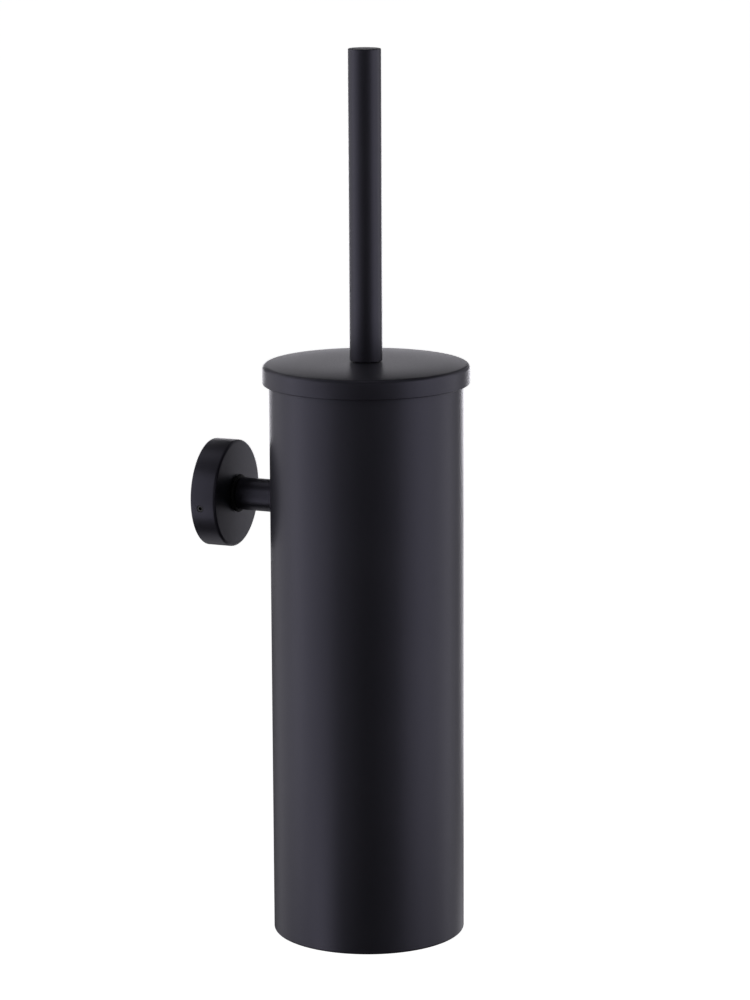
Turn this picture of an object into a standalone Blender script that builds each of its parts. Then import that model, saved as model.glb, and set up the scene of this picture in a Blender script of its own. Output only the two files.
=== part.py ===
"""Wall-mounted toilet brush set: a cup on a wall rose, a lift-out inner cup, a lid and a brush.

Units are metres, +Z is up. The origin is the centre of the wall bracket's back face, the wall is
the plane y = 0, and the set stands out from the wall along -Y.
"""

import math

import bpy

# Driving dimensions
CUP_RADIUS = 0.0428
CUP_HEIGHT = 0.2548
OVERALL_HEIGHT = 0.3955
ARM_HEIGHT_ON_CUP = 0.195
WALL_TO_CUP_AXIS = 0.075
SHEET = 0.001
GAP = 0.0003
EDGE_BREAK = 0.0004

# Cup. The arm's axis is at z = 0.
CUP_BOTTOM = -ARM_HEIGHT_ON_CUP
CUP_TOP = CUP_BOTTOM + CUP_HEIGHT
CUP_BORE = CUP_RADIUS - SHEET
CUP_EDGE_ROUND = 0.001
CUP_LIP_RADIUS = 0.0388
BASE_TOP = CUP_BOTTOM + 2 * SHEET + GAP

# Wall bracket, as distances from the wall
BRACKET_RADIUS = 0.0204
BRACKET_DEPTH = 0.008
BRACKET_SCREW_SPACING = 0.022
BRACKET_SCREW_HOLE = 0.0023
BRACKET_HEAD_HOLE = 0.0043
BRACKET_HEAD_FLOOR = 0.0045
RECESS_RADIUS = 0.006
RECESS_FLOOR = 0.0055
GROOVE_DEPTH = 0.0015
GROOVE_HALF_WIDTH = 0.0024
GROOVE_FLOOR_HALF_WIDTH = 0.0011

# Rose and its grub screw
ROSE_RADIUS = 0.024
ROSE_DEPTH = 0.012
ROSE_BORE = BRACKET_RADIUS + 0.00035
ROSE_FACE = 0.0015
ROSE_EDGE_ROUND = 0.0012
GRUB_FROM_WALL = 0.0046
GRUB_ANGLE = math.radians(8)
GRUB_RADIUS = 0.0015
GRUB_LENGTH = 0.004
GRUB_OUTER_END = ROSE_RADIUS - 0.0002
GRUB_CONE = 0.0008
GRUB_KEY = 0.0015
GRUB_KEY_DEPTH = 0.0014

# Arm, collar and the two screws on the arm's axis
ARM_RADIUS = 0.0073
COLLAR_RADIUS = 0.0085
COLLAR_START = ROSE_DEPTH + GAP
COLLAR_END = COLLAR_START + 0.0015
ARM_START = COLLAR_END + GAP
SCREW_RADIUS = 0.0025
SCREW_HOLE = 0.0028
SCREW_KEY = 0.003
SCREW_KEY_FLOOR_SHARE = 0.4
ROSE_SCREW_SEAT = ROSE_DEPTH - ROSE_FACE - GAP
ROSE_SCREW_LENGTH = 0.0118
ROSE_SCREW_HEAD_RADIUS = 0.0045
ROSE_SCREW_HEAD = 0.0022
CUP_SCREW_LENGTH = 0.0098
CUP_SCREW_HEAD_RADIUS = 0.0046
CUP_SCREW_HEAD = 0.0016
SADDLE_RADIUS = 0.006
SADDLE_THICKNESS = 0.0012
SADDLE_FACE = WALL_TO_CUP_AXIS - CUP_BORE + GAP + SADDLE_THICKNESS
CUP_SCREW_SEAT = SADDLE_FACE + GAP

# Inner cup
LINER_RADIUS = 0.0377
LINER_WALL = 0.0014
LINER_FLANGE = 0.0012
LINER_FLANGE_RADIUS = 0.0423
LINER_CORNER = 0.004
LINER_FLOOR = BASE_TOP + 0.0025

# Lid. Its crown is nearly flat in the middle and falls towards the edge as a power of the radius.
LID_RADIUS = 0.0457
LID_SKIRT_BOTTOM = 0.054
LID_FILLET = 0.002
LID_FILLET_HEIGHT = 0.06055
LID_EDGE_TILT = math.radians(5.8)
LID_HOLE = 0.005
CROWN_POWER = 4
CROWN_SPAN = LID_RADIUS - LID_FILLET + LID_FILLET * math.sin(LID_EDGE_TILT)
CROWN_RISE = CROWN_SPAN * math.tan(LID_EDGE_TILT) / CROWN_POWER
LID_APEX = LID_FILLET_HEIGHT + LID_FILLET * math.cos(LID_EDGE_TILT) + CROWN_RISE
BUSH_FLANGE_RADIUS = 0.0056
BUSH_FLANGE = 0.001
BUSH_RADIUS = LID_HOLE - GAP
BUSH_BORE = 0.0034
BUSH_LOW = LID_APEX - SHEET - 0.0013

# Handle and stem
HANDLE_TOP = OVERALL_HEIGHT - ARM_HEIGHT_ON_CUP
HANDLE_BOTTOM = LID_APEX + 1.5 * GAP
HANDLE_RADIUS = 0.0072
HANDLE_WALL = 0.0012
HANDLE_EDGE_ROUND = 0.0005
HANDLE_END = 0.002
INSERT_LOW = LID_APEX + BUSH_FLANGE + 2 * GAP
INSERT_LENGTH = 0.018
THREAD_RADIUS = 0.003
THREAD_HOLE = THREAD_RADIUS + GAP
STEM_RADIUS = 0.004
STEM_WASHER_RADIUS = 0.008
STEM_WASHER = 0.0008
STEM_WASHER_TOP = BUSH_LOW - GAP
NUT_FLATS = 0.010
NUT_HEIGHT = 0.004
NUT_TOP = STEM_WASHER_TOP - STEM_WASHER - GAP
STEM_SHOULDER = NUT_TOP - NUT_HEIGHT - GAP

# Brush head
CORE_TOP = -0.0843
CORE_SOCKET = 0.014
CORE_NECK_RADIUS = 0.0075
CORE_NECK_END = -0.091
CORE_RADIUS = 0.0105
CORE_SHOULDER_END = -0.095
CORE_BARREL_END = -0.172
CORE_NOSE = 0.006
BRISTLE_RADIUS = 0.0355
BRISTLE_ROWS = 9
BRISTLE_PITCH = 0.0086
BRISTLE_FIRST_ROW = -0.100
BRISTLE_SHORTER = (0.0012, 0.004)
BRISTLE_ROOT_THICKNESS = 0.0036
BRISTLE_TIP_THICKNESS = 0.0056
BRISTLE_END = -0.184
BRISTLE_END_RADIUS = 0.018
BRISTLE_END_SPREAD = ((0.026, 0.0065), (0.023, 0.001))

# How finely round shapes are divided
LARGE_STEPS = 64
MEDIUM_STEPS = 48
SMALL_STEPS = 24
ARC_STEPS = 3
CROWN_STEPS = 4
SHARP_ANGLE = math.radians(28)
AXIS_MERGE = 0.00001

AWAY_FROM_WALL = (math.pi / 2, 0.0, 0.0)
TURNED_ROUND = (math.pi, 0.0, 0.0)


def clear_scene():
    for obj in list(bpy.data.objects):
        bpy.data.objects.remove(obj)


def new_collection(name):
    collection = bpy.data.collections.new(name)
    bpy.context.scene.collection.children.link(collection)
    return collection


def material(name, colour, roughness, metallic):
    made = bpy.data.materials.new(name)
    made.use_nodes = True
    shader = made.node_tree.nodes["Principled BSDF"]
    shader.inputs["Base Color"].default_value = (*colour, 1.0)
    shader.inputs["Roughness"].default_value = roughness
    shader.inputs["Metallic"].default_value = metallic
    return made


def powder_coat(obj):
    obj.data.materials.append(material(obj.name + "_powder_coat", (0.020, 0.020, 0.023), 0.45, 0.0))


def black_plastic(obj):
    obj.data.materials.append(material(obj.name + "_plastic", (0.015, 0.015, 0.017), 0.55, 0.0))


def black_rubber(obj):
    obj.data.materials.append(material(obj.name + "_rubber", (0.012, 0.012, 0.013), 0.70, 0.0))


def bare_steel(obj):
    obj.data.materials.append(material(obj.name + "_steel", (0.58, 0.57, 0.55), 0.32, 1.0))


def blackened_steel(obj):
    obj.data.materials.append(material(obj.name + "_steel", (0.030, 0.030, 0.032), 0.40, 1.0))


def cast_zinc(obj):
    obj.data.materials.append(material(obj.name + "_zinc", (0.42, 0.42, 0.43), 0.55, 1.0))


def black_nylon(obj):
    obj.data.materials.append(material(obj.name + "_nylon", (0.012, 0.012, 0.013), 0.40, 0.0))


def arc(centre_r, centre_z, radius, start, end, steps=ARC_STEPS):
    """Points of a profile's arc, from the start angle to the end angle in degrees."""
    points = []
    for i in range(steps + 1):
        angle = math.radians(start + (end - start) * i / steps)
        points.append((centre_r + radius * math.cos(angle), centre_z + radius * math.sin(angle)))
    return points


def empty(name, parent=None, location=(0, 0, 0), rotation=(0, 0, 0)):
    obj = bpy.data.objects.new(name, None)
    parts.objects.link(obj)
    obj.parent = parent
    obj.location = location
    obj.rotation_euler = rotation
    return obj


def apply_modifiers(obj):
    """Keeps the evaluated mesh as the object's own, shaded smooth between its real edges."""
    bpy.context.view_layer.update()
    graph = bpy.context.evaluated_depsgraph_get()
    mesh = bpy.data.meshes.new_from_object(obj.evaluated_get(graph))
    profile = obj.data
    obj.modifiers.clear()
    obj.data = mesh
    bpy.data.meshes.remove(profile)
    mesh.name = obj.name
    mesh.shade_smooth()
    mesh.set_sharp_from_angle(angle=SHARP_ANGLE)


def turned(name, points, steps, parent, location=(0, 0, 0), rotation=(0, 0, 0)):
    """A turned piece. Its profile of (radius, height) points runs down the outer side, and one
    that doesn't start on the axis is closed into a loop."""
    edges = [(i, i + 1) for i in range(len(points) - 1)]
    if points[0][0] > 0:
        edges.append((len(points) - 1, 0))
    mesh = bpy.data.meshes.new(name + "_profile")
    mesh.from_pydata([(r, 0.0, z) for r, z in points], edges, [])
    obj = bpy.data.objects.new(name, mesh)
    parts.objects.link(obj)
    obj.parent = parent
    obj.location = location
    obj.rotation_euler = rotation
    screw = obj.modifiers.new("turn", "SCREW")
    screw.steps = steps
    screw.render_steps = steps
    screw.use_merge_vertices = True
    screw.merge_threshold = AXIS_MERGE
    apply_modifiers(obj)
    return obj


def disc(name, radius, low, high, steps, parent, location=(0, 0, 0), rotation=(0, 0, 0)):
    points = [(0, high), (radius, high), (radius, low), (0, low)]
    return turned(name, points, steps, parent, location, rotation)


def ring(name, inner, outer, low, high, steps, parent):
    points = [(inner, high), (outer, high), (outer, low), (inner, low)]
    return turned(name, points, steps, parent)


def boolean(obj, tool, operation="DIFFERENCE"):
    """Cuts obj by the tool, or keeps what they share, and files the tool with the cutters."""
    modifier = obj.modifiers.new(tool.name, "BOOLEAN")
    modifier.operation = operation
    modifier.solver = "EXACT"
    modifier.object = tool
    parts.objects.unlink(tool)
    cutters.objects.link(tool)
    tool.hide_render = True
    tool.display_type = "WIRE"


def key_socket(name, flats, low, high, parent, location=(0, 0, 0), rotation=(0, 0, 0)):
    """The cutter for a hexagon socket."""
    return disc(name, flats / math.sqrt(3), low, high, 6, parent, location, rotation)


# Wall side. On the wall axis, local +Z runs from the wall towards the cup.


def wall_screw_hole(word, height, wall):
    """The cutter for a hole with a counterbore for the screw's head."""
    past = BRACKET_DEPTH + SHEET
    points = [
        (0, past),
        (BRACKET_HEAD_HOLE, past),
        (BRACKET_HEAD_HOLE, BRACKET_HEAD_FLOOR),
        (BRACKET_SCREW_HOLE, BRACKET_HEAD_FLOOR),
        (BRACKET_SCREW_HOLE, -SHEET),
        (0, -SHEET),
    ]
    return turned(word + "_screw_hole", points, SMALL_STEPS, wall, (0, height, 0))


def wall_bracket(wall):
    edge = EDGE_BREAK + GAP
    floor = BRACKET_RADIUS - GROOVE_DEPTH
    points = [
        (0, RECESS_FLOOR),
        (RECESS_RADIUS, RECESS_FLOOR),
        (RECESS_RADIUS, BRACKET_DEPTH),
        (BRACKET_RADIUS - edge, BRACKET_DEPTH),
        (BRACKET_RADIUS, BRACKET_DEPTH - edge),
        (BRACKET_RADIUS, GRUB_FROM_WALL + GROOVE_HALF_WIDTH),
        (floor, GRUB_FROM_WALL + GROOVE_FLOOR_HALF_WIDTH),
        (floor, GRUB_FROM_WALL - GROOVE_FLOOR_HALF_WIDTH),
        (BRACKET_RADIUS, GRUB_FROM_WALL - GROOVE_HALF_WIDTH),
        (BRACKET_RADIUS, 0),
        (0, 0),
    ]
    bracket = turned("wall_bracket", points, MEDIUM_STEPS, wall)
    for side, word in ((1, "upper"), (-1, "lower")):
        boolean(bracket, wall_screw_hole(word, side * BRACKET_SCREW_SPACING / 2, wall))
    cast_zinc(bracket)


def rose_cover(wall, grub_axis):
    edge = ROSE_EDGE_ROUND
    under_face = ROSE_DEPTH - ROSE_FACE
    points = [(SCREW_HOLE, ROSE_DEPTH)]
    points += arc(ROSE_RADIUS - edge, ROSE_DEPTH - edge, edge, 90, 0)
    points += arc(ROSE_RADIUS - EDGE_BREAK, EDGE_BREAK, EDGE_BREAK, 0, -90, 2)
    points += [(ROSE_BORE, 0), (ROSE_BORE, under_face), (SCREW_HOLE, under_face)]
    rose = turned("rose_cover", points, LARGE_STEPS, wall)
    inside = ROSE_BORE - SHEET
    outside = ROSE_RADIUS + SHEET
    boolean(rose, disc("grub_hole", GRUB_RADIUS + GAP, inside, outside, SMALL_STEPS, grub_axis))
    powder_coat(rose)


def rose_grub_screw(grub_axis):
    inner_end = GRUB_OUTER_END - GRUB_LENGTH
    points = [
        (0, GRUB_OUTER_END),
        (GRUB_RADIUS - EDGE_BREAK / 2, GRUB_OUTER_END),
        (GRUB_RADIUS, GRUB_OUTER_END - EDGE_BREAK / 2),
        (GRUB_RADIUS, inner_end + GRUB_CONE),
        (GRUB_RADIUS - GRUB_CONE, inner_end),
        (0, inner_end),
    ]
    screw = turned("rose_grub_screw", points, SMALL_STEPS, grub_axis)
    key_floor = GRUB_OUTER_END - GRUB_KEY_DEPTH
    past = GRUB_OUTER_END + SHEET
    boolean(screw, key_socket("grub_socket", GRUB_KEY, key_floor, past, grub_axis))
    blackened_steel(screw)


def headed_screw(name, head_radius, head, length, wall, seat, rotation=(0, 0, 0)):
    """A low-headed socket screw. Its own origin is at the seat, with the head at +Z."""
    at = (0, 0, seat)
    points = [
        (0, head),
        (head_radius - EDGE_BREAK, head),
        (head_radius, head - EDGE_BREAK),
        (head_radius, 0),
        (SCREW_RADIUS, 0),
        (SCREW_RADIUS, EDGE_BREAK - length),
        (SCREW_RADIUS - EDGE_BREAK, -length),
        (0, -length),
    ]
    screw = turned(name, points, SMALL_STEPS, wall, at, rotation)
    key_floor = head * SCREW_KEY_FLOOR_SHARE
    boolean(
        screw, key_socket(name + "_socket", SCREW_KEY, key_floor, head + SHEET, wall, at, rotation)
    )
    bare_steel(screw)


def rose_fixing_screw(wall):
    headed_screw(
        "rose_fixing_screw",
        ROSE_SCREW_HEAD_RADIUS,
        ROSE_SCREW_HEAD,
        ROSE_SCREW_LENGTH,
        wall,
        ROSE_SCREW_SEAT,
        TURNED_ROUND,
    )


def cup_fixing_screw(wall):
    headed_screw(
        "cup_fixing_screw",
        CUP_SCREW_HEAD_RADIUS,
        CUP_SCREW_HEAD,
        CUP_SCREW_LENGTH,
        wall,
        CUP_SCREW_SEAT,
    )


def arm_collar(wall):
    collar = ring(
        "arm_collar", SCREW_HOLE, COLLAR_RADIUS, COLLAR_START, COLLAR_END, MEDIUM_STEPS, wall
    )
    black_rubber(collar)


def support_arm(wall, cup_axis):
    """A bar with a blind hole for a screw in each end, and its far end coped to the cup."""
    rose_end = ROSE_SCREW_SEAT + ROSE_SCREW_LENGTH + SHEET
    cup_end = CUP_SCREW_SEAT - CUP_SCREW_LENGTH - SHEET
    reach = WALL_TO_CUP_AXIS - CUP_RADIUS + SHEET
    points = [
        (0, cup_end),
        (SCREW_HOLE, cup_end),
        (SCREW_HOLE, reach),
        (ARM_RADIUS, reach),
        (ARM_RADIUS, ARM_START + EDGE_BREAK),
        (ARM_RADIUS - EDGE_BREAK, ARM_START),
        (SCREW_HOLE, ARM_START),
        (SCREW_HOLE, rose_end),
        (0, rose_end),
    ]
    arm = turned("support_arm", points, MEDIUM_STEPS, wall)
    cope_half = 2 * ARM_RADIUS
    cope = disc("arm_cope", CUP_RADIUS + GAP, -cope_half, cope_half, 2 * LARGE_STEPS, cup_axis)
    boolean(arm, cope)
    powder_coat(arm)


def cup_shell(wall, cup_axis):
    rim = SHEET / 2
    edge = CUP_EDGE_ROUND
    points = arc(CUP_RADIUS - rim, CUP_TOP - rim, rim, 180, 0, 4)
    points += arc(CUP_RADIUS - edge, CUP_BOTTOM + edge, edge, 0, -90)
    points += [
        (CUP_LIP_RADIUS, CUP_BOTTOM),
        (CUP_LIP_RADIUS, CUP_BOTTOM + SHEET),
        (CUP_BORE, CUP_BOTTOM + SHEET),
    ]
    shell = turned("cup_shell", points, LARGE_STEPS, cup_axis)
    outside = WALL_TO_CUP_AXIS - CUP_RADIUS - SHEET
    inside = WALL_TO_CUP_AXIS - CUP_BORE + SHEET
    boolean(shell, disc("cup_hole", SCREW_HOLE, outside, inside, SMALL_STEPS, wall))
    powder_coat(shell)


def cup_base(cup_axis):
    base = disc(
        "cup_base", CUP_BORE - GAP, BASE_TOP - SHEET, BASE_TOP, LARGE_STEPS, cup_axis
    )
    powder_coat(base)


def cup_saddle_washer(wall, cup_axis):
    """A washer with one flat face, and the other curved to the inside of the cup."""
    deepest = SADDLE_FACE - 2 * SADDLE_THICKNESS
    washer = ring(
        "cup_saddle_washer", SCREW_HOLE, SADDLE_RADIUS, deepest, SADDLE_FACE, SMALL_STEPS, wall
    )
    half = 2 * SADDLE_RADIUS
    curve = disc("saddle_curve", CUP_BORE - GAP, -half, half, 2 * LARGE_STEPS, cup_axis)
    boolean(washer, curve, "INTERSECT")
    bare_steel(washer)


# Inner cup


def inner_cup(axis):
    flange_low = CUP_TOP + GAP
    flange_high = flange_low + LINER_FLANGE
    bore = LINER_RADIUS - LINER_WALL
    corner_height = LINER_FLOOR + LINER_CORNER
    inner_corner = LINER_CORNER - LINER_WALL
    points = [(0, LINER_FLOOR + LINER_WALL)]
    points += arc(bore - inner_corner, corner_height, inner_corner, -90, 0)
    points += [
        (bore, flange_high - EDGE_BREAK),
        (bore + EDGE_BREAK, flange_high),
        (LINER_FLANGE_RADIUS - EDGE_BREAK, flange_high),
        (LINER_FLANGE_RADIUS, flange_high - EDGE_BREAK),
        (LINER_FLANGE_RADIUS, flange_low),
        (LINER_RADIUS, flange_low),
    ]
    points += arc(LINER_RADIUS - LINER_CORNER, corner_height, LINER_CORNER, 0, -90)
    points += [(0, LINER_FLOOR)]
    black_plastic(turned("inner_cup", points, MEDIUM_STEPS, axis))


# Lid


def lid_outline(inset):
    """The lid's outer surface moved inwards, from the centre hole to just above the hem."""
    points = []
    for i in range(CROWN_STEPS):
        r = LID_HOLE + (CROWN_SPAN - LID_HOLE) * i / CROWN_STEPS
        share = r / CROWN_SPAN
        height = LID_APEX - CROWN_RISE * share**CROWN_POWER
        tilt = math.atan(math.tan(LID_EDGE_TILT) * share ** (CROWN_POWER - 1))
        points.append((r - inset * math.sin(tilt), height - inset * math.cos(tilt)))
    top_angle = 90 - math.degrees(LID_EDGE_TILT)
    points += arc(LID_RADIUS - LID_FILLET, LID_FILLET_HEIGHT, LID_FILLET - inset, top_angle, 0)
    points += [(LID_RADIUS - inset, LID_SKIRT_BOTTOM + SHEET / 2)]
    return points


def lid(axis):
    hem = [(LID_RADIUS - SHEET / 4, LID_SKIRT_BOTTOM), (LID_RADIUS - SHEET * 3 / 4, LID_SKIRT_BOTTOM)]
    points = lid_outline(0) + hem + lid_outline(SHEET)[::-1]
    powder_coat(turned("lid", points, LARGE_STEPS, axis))


def lid_bush(axis):
    """A bush for the stem. Its flange lies on the lid, inside the end of the handle."""
    flange_low = LID_APEX + GAP
    flange_high = flange_low + BUSH_FLANGE
    points = [
        (BUSH_BORE, flange_high),
        (BUSH_FLANGE_RADIUS, flange_high),
        (BUSH_FLANGE_RADIUS, flange_low),
        (BUSH_RADIUS, flange_low),
        (BUSH_RADIUS, BUSH_LOW),
        (BUSH_BORE, BUSH_LOW),
    ]
    black_plastic(turned("lid_bush", points, SMALL_STEPS, axis))


# Brush


def handle_tube(axis):
    bore = HANDLE_RADIUS - HANDLE_WALL
    edge = HANDLE_EDGE_ROUND
    points = [(0, HANDLE_TOP)]
    points += arc(HANDLE_RADIUS - edge, HANDLE_TOP - edge, edge, 90, 0)
    points += [
        (HANDLE_RADIUS, HANDLE_BOTTOM),
        (bore, HANDLE_BOTTOM),
        (bore, HANDLE_TOP - HANDLE_END),
        (0, HANDLE_TOP - HANDLE_END),
    ]
    powder_coat(turned("handle_tube", points, MEDIUM_STEPS, axis))


def handle_insert(axis):
    outer = HANDLE_RADIUS - HANDLE_WALL - GAP
    high = INSERT_LOW + INSERT_LENGTH
    bare_steel(ring("handle_insert", THREAD_HOLE, outer, INSERT_LOW, high, SMALL_STEPS, axis))


def stem_rod(axis):
    """A rod with a thinner threaded end above its shoulder and another below its foot."""
    top = INSERT_LOW + INSERT_LENGTH - SHEET
    foot = CORE_TOP + GAP
    end = CORE_TOP - CORE_SOCKET + GAP
    points = [
        (0, top),
        (THREAD_RADIUS, top),
        (THREAD_RADIUS, STEM_SHOULDER),
        (STEM_RADIUS, STEM_SHOULDER),
        (STEM_RADIUS, foot),
        (THREAD_RADIUS, foot),
        (THREAD_RADIUS, end),
        (0, end),
    ]
    bare_steel(turned("stem_rod", points, SMALL_STEPS, axis))


def stem_washer(axis):
    low = STEM_WASHER_TOP - STEM_WASHER
    washer = ring(
        "stem_washer", THREAD_HOLE, STEM_WASHER_RADIUS, low, STEM_WASHER_TOP, SMALL_STEPS, axis
    )
    bare_steel(washer)


def lock_nut(axis):
    low = NUT_TOP - NUT_HEIGHT
    nut = disc("lock_nut", NUT_FLATS / math.sqrt(3), low, NUT_TOP, 6, axis)
    boolean(nut, disc("nut_bore", THREAD_HOLE, low - SHEET, NUT_TOP + SHEET, SMALL_STEPS, axis))
    bare_steel(nut)


def core_nose(clearance, steps):
    """The rounded lower end of the head's core, down to the axis."""
    points = []
    for i in range(steps):
        angle = math.pi / 2 * i / steps
        radius = (CORE_RADIUS + clearance) * math.cos(angle)
        points.append((radius, CORE_BARREL_END - (CORE_NOSE + clearance) * math.sin(angle)))
    return points + [(0, CORE_BARREL_END - CORE_NOSE - clearance)]


def head_core(axis):
    points = [
        (0, CORE_TOP - CORE_SOCKET),
        (THREAD_HOLE, CORE_TOP - CORE_SOCKET),
        (THREAD_HOLE, CORE_TOP),
        (CORE_NECK_RADIUS - EDGE_BREAK, CORE_TOP),
        (CORE_NECK_RADIUS, CORE_TOP - EDGE_BREAK),
        (CORE_NECK_RADIUS, CORE_NECK_END),
        (CORE_RADIUS, CORE_SHOULDER_END),
    ]
    points += core_nose(0, ARC_STEPS + 1)
    black_plastic(turned("head_core", points, SMALL_STEPS, axis))


def bristle_rows(axis):
    """Rings of tufts. The lowest rows are shorter, for a rounded end."""
    full_rows = BRISTLE_ROWS - len(BRISTLE_SHORTER)
    shortening = [0] * full_rows + list(BRISTLE_SHORTER)
    inner = CORE_RADIUS + GAP
    root_half = BRISTLE_ROOT_THICKNESS / 2
    tip_half = BRISTLE_TIP_THICKNESS / 2
    for row in range(BRISTLE_ROWS):
        height = BRISTLE_FIRST_ROW - row * BRISTLE_PITCH
        outer = BRISTLE_RADIUS - shortening[row]
        points = [
            (inner, height + root_half),
            (outer, height + tip_half),
            (outer, height - tip_half),
            (inner, height - root_half),
        ]
        black_nylon(turned(f"bristle_row_{row + 1:02d}", points, SMALL_STEPS, axis))


def bristle_tip(axis):
    points = core_nose(GAP + EDGE_BREAK, ARC_STEPS + 1)[:0:-1]
    points += [(radius, BRISTLE_END + rise) for radius, rise in BRISTLE_END_SPREAD]
    points += [(BRISTLE_END_RADIUS, BRISTLE_END), (0, BRISTLE_END)]
    black_nylon(turned("bristle_tip", points, SMALL_STEPS, axis))


clear_scene()
parts = new_collection("toilet_brush_holder")
cutters = new_collection("cutters")

holder = empty("holder")
from_wall = empty("wall_axis", holder, rotation=AWAY_FROM_WALL)
grub_turn = empty("grub_turn", from_wall, (0, 0, GRUB_FROM_WALL), (0, 0, GRUB_ANGLE))
grub_outward = empty("grub_outward", grub_turn, rotation=(0, -math.pi / 2, 0))
cup_upright = empty("cup_axis", holder, (0, -WALL_TO_CUP_AXIS, 0))
liner_slide = empty("liner_lift", cup_upright)
lid_slide = empty("brush_lift", liner_slide)
handle_turn = empty("handle_spin", lid_slide)

wall_bracket(from_wall)
rose_cover(from_wall, grub_outward)
rose_grub_screw(grub_outward)
rose_fixing_screw(from_wall)
arm_collar(from_wall)
support_arm(from_wall, cup_upright)
cup_shell(from_wall, cup_upright)
cup_base(cup_upright)
cup_saddle_washer(from_wall, cup_upright)
cup_fixing_screw(from_wall)

inner_cup(liner_slide)
lid(lid_slide)
lid_bush(lid_slide)

handle_tube(handle_turn)
handle_insert(handle_turn)
stem_rod(handle_turn)
stem_washer(handle_turn)
lock_nut(handle_turn)
head_core(handle_turn)
bristle_rows(handle_turn)
bristle_tip(handle_turn)
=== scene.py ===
"""Looks of the wall-mounted toilet brush set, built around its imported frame.

Metres, +Z up. The wall is the plane y = 0, the arm's axis is the Y axis, and the set stands out
from the wall along -Y. Outer sizes and places come from the frame's nodes. What a node's box
doesn't give, such as a sheet, a hole or a rounding, is a named value.
"""

import math
import random

import bmesh
import bpy
from mathutils import Matrix, Vector

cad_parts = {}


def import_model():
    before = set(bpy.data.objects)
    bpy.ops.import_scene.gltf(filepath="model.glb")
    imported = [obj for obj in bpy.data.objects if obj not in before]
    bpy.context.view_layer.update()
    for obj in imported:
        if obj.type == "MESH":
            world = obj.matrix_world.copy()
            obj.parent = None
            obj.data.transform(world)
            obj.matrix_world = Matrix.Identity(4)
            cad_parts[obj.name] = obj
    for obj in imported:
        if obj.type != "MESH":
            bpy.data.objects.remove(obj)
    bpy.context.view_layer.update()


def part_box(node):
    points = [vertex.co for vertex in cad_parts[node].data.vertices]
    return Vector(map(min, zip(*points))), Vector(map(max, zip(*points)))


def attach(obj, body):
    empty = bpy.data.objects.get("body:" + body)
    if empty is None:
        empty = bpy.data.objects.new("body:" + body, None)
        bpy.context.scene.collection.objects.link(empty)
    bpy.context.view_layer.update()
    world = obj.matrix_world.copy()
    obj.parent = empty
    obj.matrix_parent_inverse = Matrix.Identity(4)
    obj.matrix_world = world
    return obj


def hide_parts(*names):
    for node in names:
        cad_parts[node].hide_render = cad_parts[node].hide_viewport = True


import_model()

# The camera, placed from the cup's foot on its axis. The lens and sensor are in millimetres.
CAMERA_DISTANCE = 1.6695
CAMERA_HEIGHT = 0.5347
CAMERA_BEARING = math.radians(22.81)
CAMERA_DOWN = math.radians(11.457)
CAMERA_PAN = math.radians(0.1235)
CAMERA_ROLL = math.radians(-0.284)
CAMERA_LENS = 138.63
CAMERA_SENSOR = 36
CAMERA_NEAREST = 0.05
CAMERA_FARTHEST = 50

# The studio's soft boxes. Their bearings in degrees, seen from above, run from the camera's side of
# the cup, with left negative. A side box is given by its bearing and its power in watts. They all
# have one size, and stand side by side to the left and right of the set.
SIDE_BOXES = (
    (-150, 0.3),
    (-130, 1.8),
    (-110, 1.7),
    (-90, 3.5),
    (-70, 2.35),
    (-50, 1.7),
    (-25, 0.5),
    (25, 0.4),
    (50, 2.1),
    (70, 2.85),
    (90, 2.1),
    (110, 2.8),
    (130, 0.7),
    (150, 0.7),
)
SIDE_BOX_HEIGHT = 0.1
SIDE_BOX_DISTANCE = 1.2
SIDE_BOX_WIDTH = 0.42
SIDE_BOX_TALL = 1.7

# The other soft boxes: name, bearing, height above the arm, distance, width, own height, power
SMALL_BOXES = (
    ("back_left_low", -162, -0.15, 1.6, 0.5, 0.25, 1.25),
    ("back_left_high", -162, 0.9, 1.6, 0.5, 0.25, 0.4),
    ("back_level", 180, 0.1, 1.6, 0.5, 0.25, 0.7),
    ("back_raised", 180, 0.35, 1.6, 0.5, 0.25, 0.5),
    ("back_right_lowest", 162, -0.45, 1.6, 0.5, 0.25, 1.0),
    ("back_right_low", 162, -0.15, 1.6, 0.5, 0.25, 1.85),
    ("front", 0, 0.4, 1.4, 0.5, 0.8, 0.2),
    ("overhead", 0, 1.5, 0.01, 1.0, 1.0, 1.0),
    ("back_left_level", -168, 0.08, 1.6, 0.3, 0.25, 0.9),
    ("back_right_level", 168, 0.08, 1.6, 0.3, 0.25, 0.5),
    ("under_back", 180, -0.9, 0.9, 1.2, 0.6, 0.9),
    ("under_wall", -140, -1.0, 0.45, 0.5, 0.4, 0.35),
    ("under_left", -60, -0.7, 1.0, 0.5, 0.4, 0.9),
    ("under_right", 150, -0.7, 1.0, 0.5, 0.4, 0.4),
    ("over_left", -120, 1.0, 0.7, 0.5, 0.4, 0.5),
)

LIGHT_COLOUR = (1.0, 0.985, 1.04)  # a trace of violet, which the photo's powder coat shows
AMBIENT_STRENGTH = 0.006
FLOOR_DROP = 0.6  # from the cup's foot
FLOOR_HALF_WIDTH = 30

# Steps in a full turn
ROUND_STEPS = 192  # cup, inner cup, lid and rose
SMALL_ROUND_STEPS = 96  # handle, arm, bracket and brush core
FITTING_STEPS = 64  # screws, washers and nut
HOLE_STEPS = 48  # drilled holes and the grub screw
CUTTER_STEPS = 256  # cutting tools with the cup's curve

SHARP_ANGLE = math.radians(35)  # an edge that turns by more than this stays sharp
ON_AXIS = 1e-7  # a profile's point with a smaller radius lies on the axis

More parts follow.
